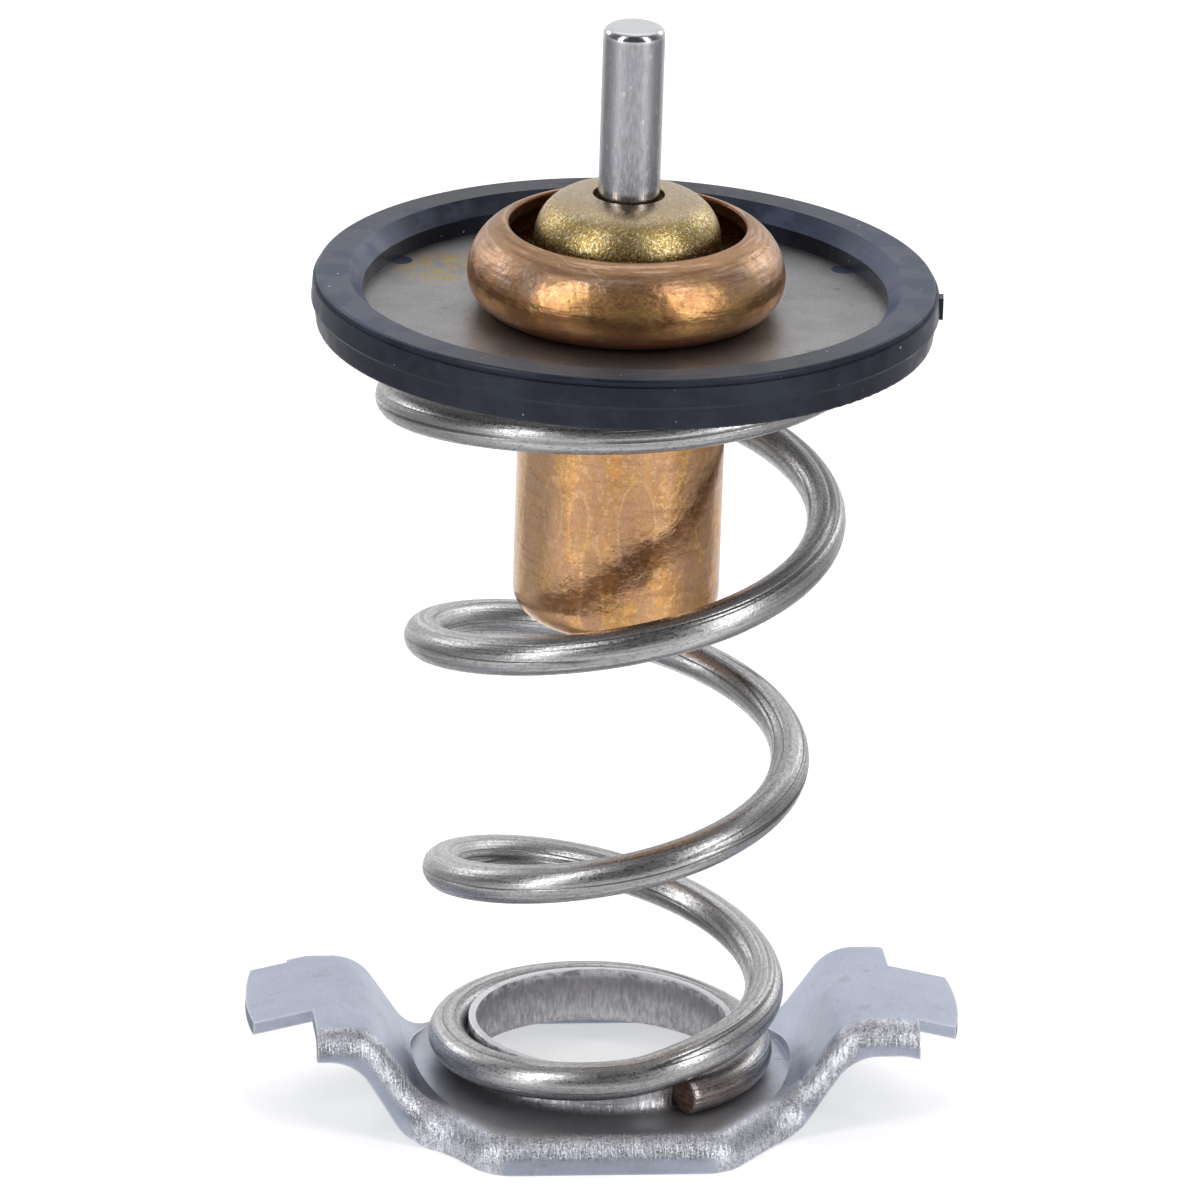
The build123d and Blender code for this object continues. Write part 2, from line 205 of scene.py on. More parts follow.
def noise(tree, place, scale, detail=2.0, roughness=0.5):
    node = add_node(tree, "ShaderNodeTexNoise")
    names = ("Vector", "Scale", "Detail", "Roughness")
    for source, name in zip((place, scale, detail, roughness), names):
        feed(tree, source, node.inputs[name])
    return node.outputs["Fac"]


def cells(tree, place, scale, feature="F1"):
    node = add_node(tree, "ShaderNodeTexVoronoi", feature=feature)
    feed(tree, place, node.inputs["Vector"])
    feed(tree, scale, node.inputs["Scale"])
    return node


def contrasted(tree, value, contrast):
    """Value pushed away from one half by a contrast, and kept from 0 to 1."""
    limited = add_node(tree, "ShaderNodeClamp")
    feed(tree, plus(tree, times(tree, minus(tree, value, 0.5), contrast), 0.5), limited.inputs["Value"])
    return limited.outputs[0]


def split(tree, place):
    node = add_node(tree, "ShaderNodeSeparateXYZ")
    feed(tree, place, node.inputs[0])
    return node.outputs


def join(tree, x, y, z):
    node = add_node(tree, "ShaderNodeCombineXYZ")
    for source, target in zip((x, y, z), node.inputs):
        feed(tree, source, target)
    return node.outputs[0]


def bump(tree, shader, *heights):
    """Bump from heights in millimetres, one on top of the other."""
    normal = None
    for height in heights:
        node = add_node(tree, "ShaderNodeBump")
        node.inputs["Distance"].default_value = MM
        feed(tree, height, node.inputs["Height"])
        if normal is not None:
            feed(tree, normal, node.inputs["Normal"])
        normal = node.outputs["Normal"]
    feed(tree, normal, shader.inputs["Normal"])


def levels_round(tree, direction, levels):
    """Brightness that changes with the direction round the object, read from a list of levels."""
    x, y, _ = split(tree, direction)
    flat = calc_place(tree, "NORMALIZE", join(tree, x, y, 0.0))
    toward = measure(tree, "DOT_PRODUCT", flat, (sin(AZIMUTH) / 2, -cos(AZIMUTH) / 2, 0.0))
    ramp = add_node(tree, "ShaderNodeValToRGB")
    ramp.color_ramp.interpolation = "EASE"
    stops = ramp.color_ramp.elements
    while len(stops) < len(levels):
        stops.new(0.5)
    for stop, (place, level) in zip(stops, levels):
        stop.position = place
        stop.color = (level, level, level, 1.0)
    feed(tree, plus(tree, toward, 0.5), ramp.inputs["Fac"])
    return ramp.outputs["Color"]


# stage
def add_stage():
    bpy.ops.object.select_all(action="DESELECT")
    bpy.ops.mesh.primitive_plane_add(size=FLOOR_SIZE, location=(0, 0, 0))
    floor = bpy.context.object
    floor.name = "floor"
    material, tree, shader = new_material("floor_white")
    tree.nodes.remove(shader)
    diffuse = add_node(tree, "ShaderNodeBsdfDiffuse")
    path = add_node(tree, "ShaderNodeLightPath")
    coords = add_node(tree, "ShaderNodeTexCoord")
    share = levels_round(tree, coords.outputs["Object"], FLOOR_LEVELS)
    lit = calc(tree, "MAXIMUM", share, path.outputs["Is Camera Ray"])
    feed(tree, mix_colours(tree, lit, (0.0, 0.0, 0.0), FLOOR_COLOUR), diffuse.inputs["Color"])
    glow = add_node(tree, "ShaderNodeEmission")
    mirrored = times(tree, path.outputs["Is Glossy Ray"], share)
    in_metal = times(tree, mirrored, FLOOR_GLOW_IN_METAL)
    by_eye = times(tree, path.outputs["Is Camera Ray"], FLOOR_GLOW)
    feed(tree, plus(tree, by_eye, in_metal), glow.inputs["Strength"])
    both = add_node(tree, "ShaderNodeAddShader")
    feed(tree, diffuse.outputs[0], both.inputs[0])
    feed(tree, glow.outputs[0], both.inputs[1])
    feed(tree, both.outputs[0], tree.nodes["Material Output"].inputs["Surface"])
    floor.data.materials.append(material)


def add_world():
    """White backdrop to the eye, and a room that is bright behind the object and dim in front of it."""
    world = bpy.data.worlds.new("studio")
    bpy.context.scene.world = world
    world.use_nodes = True
    tree = world.node_tree
    background = tree.nodes["Background"]
    coords = add_node(tree, "ShaderNodeTexCoord")
    room = levels_round(tree, coords.outputs["Generated"], ROOM_LEVELS)
    path = add_node(tree, "ShaderNodeLightPath")
    feed(tree, calc(tree, "MAXIMUM", room, path.outputs["Is Camera Ray"]), background.inputs["Strength"])
    feed(tree, (1.0, 1.0, 1.0), background.inputs["Color"])


def add_lamps():
    for name, place, size, power in LAMPS:
        data = bpy.data.lights.new(name, "AREA")
        data.shape = "RECTANGLE"
        data.size, data.size_y = size
        data.energy = power
        lamp = bpy.data.objects.new(name, data)
        bpy.context.scene.collection.objects.link(lamp)
        lamp.location = place
        lamp.rotation_euler = (Vector(LAMP_AIM) - Vector(place)).to_track_quat("-Z", "Y").to_euler()


bpy.context.scene.view_settings.view_transform = "Standard"
add_camera()
add_stage()
add_world()
add_lamps()

# the spring's wire, by the same stations as its solid
WIRE = 2.55 * MM
COIL_START_ANGLE = -63.0
COIL_END_ANGLE = 1590.0
BASE_COIL_RADIUS = 10.1 * MM
TOP_COIL_RADIUS = 15.175 * MM
COIL_STEP = 3.0
CUT_EDGE = 0.12 * MM
COIL_STATIONS = [
    (COIL_START_ANGLE, 0.0, 0.0),
    (20.0, 0.0, 0.0),
    (77.0, 0.0075, 0.0),
    (168.0, 0.0105, 0.01),
    (275.0, 0.036, 0.02),
    (297.0, 0.053, 0.04),
    (355.0, 0.090, 0.12),
    (535.0, 0.250, 0.15),
    (715.0, 0.417, 0.34),
    (895.0, 0.580, 0.47),
    (1075.0, 0.756, 0.69),
    (1235.0, 0.900, 0.90),
    (1335.0, 0.975, 0.99),
    (1435.0, 1.0, 1.0),
    (COIL_END_ANGLE, 1.0, 1.0),
]


def smooth(stations, x):
    """Monotone cubic through (x, y) stations, level at both ends."""
    xs = [s[0] for s in stations]
    ys = [s[1] for s in stations]
    slopes = [(ys[i + 1] - ys[i]) / (xs[i + 1] - xs[i]) for i in range(len(xs) - 1)]
    grads = [0.0]
    for before, after in zip(slopes[:-1], slopes[1:]):
        grads.append(0.0 if before * after <= 0 else 2.0 * before * after / (before + after))
    grads.append(0.0)
    i = 0
    while i < len(slopes) - 1 and x > xs[i + 1]:
        i += 1
    step = xs[i + 1] - xs[i]
    t = (x - xs[i]) / step
    near = (1 + 2 * t) * (1 - t) ** 2 * ys[i] + t * (1 - t) ** 2 * step * grads[i]
    far = t ** 2 * (3 - 2 * t) * ys[i + 1] + t ** 2 * (t - 1) * step * grads[i + 1]
    return near + far


def path_lengths(centres):
    """Distance along a path at each of its points."""
    steps = np.linalg.norm(np.diff(np.array(centres), axis=0), axis=1)
    return np.concatenate([[0.0], np.cumsum(steps)])


def add_point_values(piece, name, values):
    attribute = piece.data.attributes.new(name, "FLOAT", "POINT")
    attribute.data.foreach_set("value", np.asarray(values, dtype=np.float32))


def close_ends(piece):
    """Fill the wire's two cut ends and break their edges."""
    bpy.ops.object.mode_set(mode="EDIT")
    bpy.ops.mesh.select_mode(type="EDGE")
    bpy.ops.mesh.select_all(action="DESELECT")
    bpy.ops.mesh.select_non_manifold(extend=False, use_wire=False, use_boundary=True)
    bpy.ops.mesh.edge_face_add()
    bpy.ops.mesh.bevel(offset=CUT_EDGE, segments=2, affect="EDGES")
    bpy.ops.object.mode_set(mode="OBJECT")


def make_spring():
    """Wire swept along the coil, from its seat on the bridge up to the valve."""
    low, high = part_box("main_spring")
    bottom = low[2] + WIRE / 2
    top = high[2] - WIRE / 2
    count = round((COIL_END_ANGLE - COIL_START_ANGLE) / COIL_STEP) + 1
    centres = []
    shares = []
    for i in range(count):
        angle = COIL_START_ANGLE + COIL_STEP * i
        share = smooth([(a, up) for a, up, _ in COIL_STATIONS], angle)
        out = smooth([(a, wide) for a, _, wide in COIL_STATIONS], angle)
        radius = BASE_COIL_RADIUS + (TOP_COIL_RADIUS - BASE_COIL_RADIUS) * out
        turn = radians(angle)
        centres.append((radius * cos(turn), radius * sin(turn), bottom + (top - bottom) * share))
        shares.append(share)
    curve = bpy.data.curves.new("spring_wire", "CURVE")
    curve.dimensions = "3D"
    curve.twist_mode = "Z_UP"
    curve.bevel_depth = WIRE / 2
    curve.bevel_resolution = 10
    spline = curve.splines.new("POLY")
    spline.points.add(count - 1)
    for point, centre in zip(spline.points, centres):
        point.co = (*centre, 1.0)
    holder = bpy.data.objects.new("spring_wire", curve)
    bpy.context.scene.collection.objects.link(holder)
    bpy.ops.object.select_all(action="DESELECT")
    holder.select_set(True)
    bpy.context.view_layer.objects.active = holder
    bpy.ops.object.convert(target="MESH")
    spring = bpy.context.object
    spring.name = "spring_coil"
    around = len(spring.data.vertices) // count
    add_point_values(spring, "coil_share", np.repeat(shares, around))
    add_point_values(spring, "wire_length", np.repeat(path_lengths(centres), around))
    turns = 2 * pi * np.arange(around) / around
    add_point_values(spring, "wire_up", np.tile(np.sin(turns), count))
    add_point_values(spring, "wire_out", np.tile(np.cos(turns), count))
    close_ends(spring)
    bpy.ops.object.shade_smooth_by_angle(angle=radians(40.0))
    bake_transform(spring)
    weights = np.empty(len(spring.data.vertices), dtype=np.float32)
    spring.data.attributes["coil_share"].data.foreach_get("value", weights)
    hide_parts("main_spring")
    return spring


# effects that more than one finish uses, as node groups
SOCKETS = {"float": "NodeSocketFloat", "vector": "NodeSocketVector"}


def new_group(name, takes, gives):
    group = bpy.data.node_groups.new(name, "ShaderNodeTree")
    for socket, kind, value in takes:
        made = group.interface.new_socket(socket, in_out="INPUT", socket_type=SOCKETS[kind])
        if value is not None:
            made.default_value = value
    for socket, kind in gives:
        group.interface.new_socket(socket, in_out="OUTPUT", socket_type=SOCKETS[kind])
    return group, add_node(group, "NodeGroupInput").outputs, add_node(group, "NodeGroupOutput").inputs


def use(tree, group, **takes):
    """Place a group in a tree, with its inputs fed by name, and give its outputs."""
    node = add_node(tree, "ShaderNodeGroup", node_tree=group)
    for name, value in takes.items():
        feed(tree, value, node.inputs[name])
    return node.outputs


def make_place():
    """Places in millimetres, with the distance and direction from the valve's centre line."""
    gives = [("Place", "vector"), ("Radius", "float"), ("Height", "float"), ("Outward", "vector")]
    tree, _, out = new_group("place_in_mm", [], gives)
    coords = add_node(tree, "ShaderNodeTexCoord")
    place = scaled(tree, coords.outputs["Object"], 1.0 / MM)
    x, y, z = split(tree, place)
    flat = join(tree, x, y, 0.0)
    feed(tree, place, out["Place"])
    feed(tree, measure(tree, "LENGTH", flat), out["Radius"])
    feed(tree, z, out["Height"])
    feed(tree, calc_place(tree, "NORMALIZE", flat), out["Outward"])
    return tree


def make_grain():
    """Fine even grain, from 0 to 1."""
    takes = [("Place", "vector", None), ("Size", "float", 0.2), ("Contrast", "float", 1.0)]
    tree, given, out = new_group("fine_grain", takes, [("Value", "float")])
    value = noise(tree, given["Place"], calc(tree, "DIVIDE", 1.0, given["Size"]), 3.0, 0.6)
    spread = times(tree, minus(tree, value, 0.5), given["Contrast"])
    feed(tree, plus(tree, spread, 0.5), out["Value"])
    return tree


def make_streaks():
    """Lines that run one way: a grain stretched along one direction, from 0 to 1."""
    takes = [("Place", "vector", None), ("Stretch", "vector", (1, 1, 1)), ("Contrast", "float", 2.0)]
    tree, given, out = new_group("streaks", takes, [("Value", "float")])
    value = noise(tree, calc_place(tree, "MULTIPLY", given["Place"], given["Stretch"]), 1.0, 3.0, 0.65)
    feed(tree, contrasted(tree, value, given["Contrast"]), out["Value"])
    return tree


def make_ring_lines(place_group):
    """Lines round the centre line, as a lathe or a drawing die leaves them, from 0 to 1."""
    takes = [("Spacing", "float", 0.3), ("Breaks", "float", 3.0), ("Contrast", "float", 2.0)]
    tree, given, out = new_group("ring_lines", takes, [("Value", "float")])
    where = use(tree, place_group)
    rate = calc(tree, "DIVIDE", 1.0, given["Spacing"])
    x, y, _ = split(tree, scaled(tree, where["Outward"], given["Breaks"]))
    node = add_node(tree, "ShaderNodeTexNoise", noise_dimensions="4D")
    feed(tree, join(tree, x, y, times(tree, where["Height"], rate)), node.inputs["Vector"])
    feed(tree, times(tree, where["Radius"], rate), node.inputs["W"])
    feed(tree, 1.0, node.inputs["Scale"])
    feed(tree, contrasted(tree, node.outputs["Fac"], given["Contrast"]), out["Value"])
    return tree


def make_stains():
    """Ragged patches of a size, over about a share of the surface."""
    takes = [("Place", "vector", None), ("Size", "float", 2.0)]
    takes += [("Share", "float", 0.3), ("Edge", "float", 0.08)]
    tree, given, out = new_group("stains", takes, [("Mask", "float")])
    value = noise(tree, given["Place"], calc(tree, "DIVIDE", 1.0, given["Size"]), 5.0, 0.62)
    middle = minus(tree, 0.67, times(tree, given["Share"], 0.34))
    start = minus(tree, middle, given["Edge"])
    end = plus(tree, middle, given["Edge"])
    feed(tree, remap(tree, value, start, end), out["Mask"])
    return tree


def make_specks():
    """Small round specks, in a share of the cells of a size."""
    takes = [("Place", "vector", None), ("Spacing", "float", 1.0)]
    takes += [("Size", "float", 0.1), ("Share", "float", 0.3)]
    tree, given, out = new_group("specks", takes, [("Mask", "float")])
    rate = calc(tree, "DIVIDE", 1.0, given["Spacing"])
    cell = cells(tree, given["Place"], rate)
    chance = split(tree, cell.outputs["Color"])
    reach = times(tree, times(tree, given["Size"], rate), plus(tree, chance[1], 0.3))
    near = calc(tree, "LESS_THAN", cell.outputs["Distance"], reach)
    picked = calc(tree, "LESS_THAN", chance[0], given["Share"])
    feed(tree, times(tree, near, picked), out["Mask"])
    return tree


def make_scratches():
    """Thin broken lines along one stretched direction."""
    takes = [("Place", "vector", None), ("Stretch", "vector", (1, 1, 1)), ("Width", "float", 0.01)]
    takes += [("Share", "float", 0.3)]
    tree, given, out = new_group("scratches", takes, [("Mask", "float")])
    place = calc_place(tree, "MULTIPLY", given["Place"], given["Stretch"])
    line = calc(tree, "ABSOLUTE", minus(tree, noise(tree, place, 1.0, 0.0), 0.5))
    thin = minus(tree, 1.0, remap(tree, line, 0.0, given["Width"]))
    limit = minus(tree, 0.67, times(tree, given["Share"], 0.34))
    shown = remap(tree, noise(tree, given["Place"], 0.55, 2.0), limit, plus(tree, limit, 0.05))
    feed(tree, times(tree, thin, shown), out["Mask"])
    return tree


def make_worn_lit_edges():
    """Outer edges within a radius in metres, from 0 to 1."""
    takes = [("Radius", "float", 0.0002)]
    tree, given, out = new_group("worn_lit_edges", takes, [("Mask", "float")])
    rounded = add_node(tree, "ShaderNodeBevel", samples=4)
    feed(tree, given["Radius"], rounded.inputs["Radius"])
    flat = add_node(tree, "ShaderNodeNewGeometry")
    same = measure(tree, "DOT_PRODUCT", rounded.outputs["Normal"], flat.outputs["Normal"])
    feed(tree, remap(tree, same, 0.995, 0.90), out["Mask"])
    return tree


PLACE = make_place()
GRAIN = make_grain()
STREAKS = make_streaks()
RING_LINES = make_ring_lines(PLACE)
STAINS = make_stains()
SPECKS = make_specks()
SCRATCHES = make_scratches()
WORN_LIT_EDGES = make_worn_lit_edges()


# finishes
def bridge_steel():
    """Bright stamped sheet: satin flats, and bends that the die has streaked across."""
    material, tree, shader = new_material("bridge_steel")
    where = use(tree, PLACE)
    place = where["Place"]
    coords = add_node(tree, "ShaderNodeTexCoord")
    side = calc(tree, "ABSOLUTE", split(tree, coords.outputs["Normal"])["Y"])
    up = split(tree, coords.outputs["Normal"])["Z"]
    bend = times(tree, remap(tree, side, 0.08, 0.40), remap(tree, side, 0.999, 0.93))
    in_collar = remap(tree, where["Radius"], COLLAR_REACH + 0.3, COLLAR_REACH)
    # rim: the top of the collar's rim, where a painted highlight is laid
    rim = times(tree, in_collar, remap(tree, up, 0.4, 0.8))
    rim = times(tree, rim, remap(tree, where["Height"], COLLAR_TOP - 0.2, COLLAR_TOP))
    # on_seat: the seat under the spring coil, painted darker there as shade, and rougher
    low = remap(tree, where["Height"], SEAT_TOP + 1.7, SEAT_TOP + 0.7)
    along_arms = calc(tree, "ABSOLUTE", split(tree, place)["X"])
    on_seat = times(tree, remap(tree, up, 0.85, 0.99), low)
    on_seat = times(tree, on_seat, remap(tree, along_arms, ARM_FOOT, SEAT_SHADE_END))
    drag = use(tree, STREAKS, Place=place, Stretch=(4.6, 1.2, 1.2), Contrast=3.2)["Value"]
    sparkle = use(tree, GRAIN, Place=place, Size=0.13, Contrast=3.4)["Value"]
    dirt = use(tree, STAINS, Place=place, Size=1.7, Share=0.14, Edge=0.05)["Mask"]
    blotch = use(tree, STAINS, Place=place, Size=1.1, Share=0.5, Edge=0.14)["Mask"]
    grain = use(tree, GRAIN, Place=place, Size=0.22, Contrast=1.6)["Value"]
    cloud = use(tree, STAINS, Place=place, Size=5.0, Share=0.5, Edge=0.2)["Mask"]
    lines = use(tree, SCRATCHES, Place=place, Stretch=(0.25, 1.4, 1.4), Width=0.012, Share=0.35)["Mask"]
    scuffs = use(tree, SCRATCHES, Place=place, Stretch=(0.5, 2.4, 2.4), Width=0.05, Share=0.55)["Mask"]
    edges = use(tree, WORN_LIT_EDGES, Radius=0.00022)["Mask"]
    flat = mix_colours(tree, cloud, (0.485, 0.525, 0.63), (0.58, 0.625, 0.745))
    flat = tint(tree, flat, grain, 0.45, (0.35, 0.38, 0.48))
    worked = mix_colours(tree, drag, (0.33, 0.335, 0.38), (0.82, 0.84, 0.92))
    worked = tint(tree, worked, blotch, 0.50, (0.33, 0.335, 0.375))
    worked = tint(tree, worked, remap(tree, sparkle, 0.3, 1.0), 0.70, (0.94, 0.95, 1.0))
    worked = tint(tree, worked, remap(tree, sparkle, 0.3, -0.2), 0.70, (0.17, 0.17, 0.20))
    worked = tint(tree, worked, scuffs, 0.55, (0.92, 0.93, 0.98))
    colour = mix_colours(tree, bend, flat, worked)
    # the collar's bore: brushed streaks, with painted shade and painted glints laid over them
    rubbed = mix_colours(tree, drag, (0.46, 0.45, 0.465), (0.78, 0.77, 0.80))
    # painted shade: the bore darkened towards its top
    high = remap(tree, where["Height"], COLLAR_TOP - 2.2, COLLAR_TOP - 0.8)
    rubbed = tint(tree, rubbed, high, 0.55, (0.27, 0.255, 0.26))
    # painted glints: broken white highlights along the top of the bore
    brink = remap(tree, where["Height"], COLLAR_TOP - 0.6, COLLAR_TOP)
    glints = use(tree, STAINS, Place=place, Size=0.8, Share=0.52, Edge=0.08)["Mask"]
    rubbed = tint(tree, rubbed, brink, glints, (0.95, 0.95, 0.97))
    colour = mix_colours(tree, in_collar, colour, rubbed)
    # painted highlight on the collar's rim
    colour = mix_colours(tree, rim, colour, (0.78, 0.79, 0.83))
    # painted shade on the seat under the spring coil
    colour = tint(tree, colour, on_seat, 0.85, (0.41, 0.40, 0.405))
    colour = tint(tree, colour, dirt, 0.25, (0.30, 0.285, 0.28))
    colour = tint(tree, colour, lines, 0.45, (0.26, 0.27, 0.31))
    # edge wear with a painted highlight: the outer edges lightened
    colour = tint(tree, colour, edges, 0.75, (0.92, 0.93, 0.96))
    feed(tree, colour, shader.inputs["Base Color"])
    feed(tree, 1.0, shader.inputs["Metallic"])
    rough = plus(tree, 0.36, times(tree, minus(tree, grain, 0.5), 0.12))
    rough = plus(tree, rough, times(tree, on_seat, 0.16))
    worked_rough = remap(tree, drag, 0.0, 1.0, 0.46, 0.29)
    mixed = add_node(tree, "ShaderNodeMix", data_type="FLOAT")
    feed(tree, bend, mixed.inputs[0])
    feed(tree, rough, mixed.inputs[2])
    feed(tree, worked_rough, mixed.inputs[3])
    feed(tree, mixed.outputs[0], shader.inputs["Roughness"])
    dents = times(tree, noise(tree, place, 0.45, 1.0), 0.10)
    relief = plus(tree, times(tree, drag, 0.024), times(tree, sparkle, 0.010))
    relief = times(tree, relief, bend)
    bump(tree, shader, dents, relief, times(tree, grain, 0.007))
    return material


def wire_place(tree):
    """Place on the wire in millimetres: up and out across it, and its length along it."""
    values = []
    half = WIRE / 2 / MM
    for name, size in (("wire_up", half), ("wire_out", half), ("wire_length", 1.0 / MM)):
        attribute = add_node(tree, "ShaderNodeAttribute", attribute_name=name)
        values.append(times(tree, attribute.outputs["Fac"], size))
    return join(tree, *values)


def spring_steel():
    """Drawn wire: satin, with long dark draw lines and fine pits."""
    material, tree, shader = new_material("spring_steel")
    along = wire_place(tree)
    drawn = stretched(tree, along, 1.0, 1.0, 0.07)
    fine = use(tree, STREAKS, Place=drawn, Stretch=(4.6, 4.6, 1.4), Contrast=3.0)["Value"]
    wide = use(tree, STREAKS, Place=drawn, Stretch=(1.6, 1.6, 0.3), Contrast=2.6)["Value"]
    dark = use(tree, SCRATCHES, Place=drawn, Stretch=(0.95, 0.95, 0.2), Width=0.018, Share=0.80)["Mask"]
    pits = use(tree, STREAKS, Place=along, Stretch=(6.0, 6.0, 3.4), Contrast=3.4)["Value"]
    worn = use(tree, STAINS, Place=along, Size=1.6, Share=0.40, Edge=0.14)["Mask"]
    colour = mix_colours(tree, wide, (0.41, 0.405, 0.41), (0.575, 0.575, 0.595))
    colour = tint(tree, colour, remap(tree, fine, 0.5, 1.0), 0.60, (0.82, 0.82, 0.83))
    colour = tint(tree, colour, remap(tree, fine, 0.5, 0.0), 0.55, (0.25, 0.24, 0.24))
    colour = tint(tree, colour, remap(tree, pits, 0.62, 0.95), 0.50, (0.20, 0.19, 0.17))
    colour = tint(tree, colour, worn, 0.16, (0.36, 0.34, 0.32))
    colour = tint(tree, colour, dark, 0.85, (0.10, 0.095, 0.085))
    burnt = remap(tree, split(tree, along)["Z"], BURNT_WIRE, BURNT_WIRE - 4.0)
    colour = tint(tree, colour, burnt, 0.60, (0.20, 0.145, 0.13))
    feed(tree, colour, shader.inputs["Base Color"])
    feed(tree, 1.0, shader.inputs["Metallic"])
    feed(tree, remap(tree, pits, 0.0, 1.0, 0.24, 0.38), shader.inputs["Roughness"])
    groove = times(tree, dark, -0.03)
    bump(tree, shader, plus(tree, groove, times(tree, fine, 0.008)), times(tree, pits, -0.006))
    return material


def cut_wire():
    """Wire's cut end: heat-stained brown, with shear lines."""
    material, tree, shader = new_material("cut_wire")
    place = use(tree, PLACE)["Place"]
    shear = use(tree, STREAKS, Place=place, Stretch=(1.2, 1.2, 5.0), Contrast=2.6)["Value"]
    burn = use(tree, STAINS, Place=place, Size=0.9, Share=0.5, Edge=0.12)["Mask"]
    colour = mix_colours(tree, shear, (0.10, 0.055, 0.045), (0.34, 0.20, 0.15))
    colour = tint(tree, colour, burn, 0.6, (0.05, 0.035, 0.035))
    feed(tree, colour, shader.inputs["Base Color"])
    feed(tree, 0.8, shader.inputs["Metallic"])
    feed(tree, remap(tree, shear, 0.0, 1.0, 0.55, 0.38), shader.inputs["Roughness"])
    bump(tree, shader, times(tree, shear, 0.05))
    return material


def plate_steel():
    """Dull sheet: fine grain, faint marks, and a gold heat stain behind the element."""
    material, tree, shader = new_material("plate_steel")
    place = use(tree, PLACE)["Place"]
    grain = use(tree, GRAIN, Place=place, Size=0.16, Contrast=2.2)["Value"]
    cloud = use(tree, STAINS, Place=place, Size=3.0, Share=0.5, Edge=0.2)["Mask"]
    marks = use(tree, SCRATCHES, Place=place, Stretch=(0.35, 1.5, 1.0), Width=0.02, Share=0.2)["Mask"]
    dust = use(tree, SPECKS, Place=place, Spacing=0.6, Size=0.08, Share=0.45)["Mask"]
    x, y, _ = split(tree, place)
    distance = measure(tree, "DISTANCE", join(tree, x, y, 0.0), GOLD_STAIN_PLACE)
    near = remap(tree, distance, GOLD_STAIN_REACH, GOLD_STAIN_REACH * 0.45)
    gold = times(tree, near, use(tree, STAINS, Place=place, Size=0.6, Share=0.45, Edge=0.06)["Mask"])
    colour = mix_colours(tree, cloud, (0.325, 0.32, 0.325), (0.42, 0.415, 0.425))
    colour = tint(tree, colour, grain, 0.5, (0.25, 0.245, 0.25))
    colour = tint(tree, colour, gold, 0.90, (0.50, 0.36, 0.15))
    colour = tint(tree, colour, marks, 0.6, (0.10, 0.10, 0.09))
    colour = tint(tree, colour, dust, 0.5, (0.12, 0.115, 0.11))
    feed(tree, colour, shader.inputs["Base Color"])
    feed(tree, 1.0, shader.inputs["Metallic"])
    feed(tree, remap(tree, grain, 0.2, 0.8, 0.36, 0.46), shader.inputs["Roughness"])
    bump(tree, shader, times(tree, noise(tree, place, 0.3, 1.0), 0.06), times(tree, grain, 0.008))
    return material


def seal_rubber():
    """Moulded rubber, blue-black: a faint bloom, painted sheen on its left and right sides, with dust
    and nicks.
    """
    material, tree, shader = new_material("seal_rubber")
    where = use(tree, PLACE)
    place = where["Place"]
    grain = use(tree, GRAIN, Place=place, Size=0.20, Contrast=1.6)["Value"]
    bloom = use(tree, STAINS, Place=place, Size=2.6, Share=0.42, Edge=0.12)["Mask"]
    coords = add_node(tree, "ShaderNodeTexCoord")
    sideways = calc(tree, "ABSOLUTE", split(tree, where["Outward"])["X"])
    inward = measure(tree, "DOT_PRODUCT", where["Outward"], coords.outputs["Normal"])
    up = split(tree, coords.outputs["Normal"])["Z"]
    # side_sheen: painted sheen on the left and right of the seal, broken a little by the bloom
    side_sheen = plus(tree, sideways, times(tree, minus(tree, bloom, 0.5), 0.12))
    side_sheen = times(tree, remap(tree, side_sheen, 0.45, 0.95), remap(tree, up, 0.3, 0.6))
    # inner: the same painted sheen on the inner chamfer
    inner = times(tree, side_sheen, remap(tree, inward, -0.3, -0.6))
    rubbed = use(tree, STREAKS, Place=place, Stretch=(0.9, 0.9, 2.5), Contrast=2.6)["Value"]
    dust = use(tree, SPECKS, Place=place, Spacing=0.85, Size=0.065, Share=0.40)["Mask"]
    flattened = stretched(tree, place, 0.22, 0.22, 1.0)
    nicks = use(tree, SPECKS, Place=flattened, Spacing=0.9, Size=0.035, Share=0.2)["Mask"]
    lines = use(tree, RING_LINES, Spacing=0.22, Breaks=2.0, Contrast=2.2)["Value"]
    colour = mix_colours(tree, bloom, (0.012, 0.0145, 0.024), (0.025, 0.029, 0.045))
    colour = tint(tree, colour, rubbed, 0.11, (0.050, 0.058, 0.088))
    # painted sheen on the sides and on the inner chamfer
    colour = tint(tree, colour, side_sheen, 0.80, (0.058, 0.074, 0.128))
    colour = tint(tree, colour, inner, 0.80, (0.082, 0.102, 0.178))
    colour = tint(tree, colour, lines, 0.15, (0.004, 0.005, 0.008))
    colour = tint(tree, colour, nicks, 0.55, (0.30, 0.32, 0.36))
    colour = tint(tree, colour, dust, 0.75, (0.55, 0.56, 0.58))
    feed(tree, colour, shader.inputs["Base Color"])
    feed(tree, remap(tree, bloom, 0.0, 1.0, 0.30, 0.42), shader.inputs["Roughness"])
    feed(tree, 0.32, shader.inputs["Specular IOR Level"])
    feed(tree, (0.78, 0.86, 1.0), shader.inputs["Specular Tint"])
    bump(tree, shader, times(tree, lines, 0.006), times(tree, grain, 0.006))
    return material


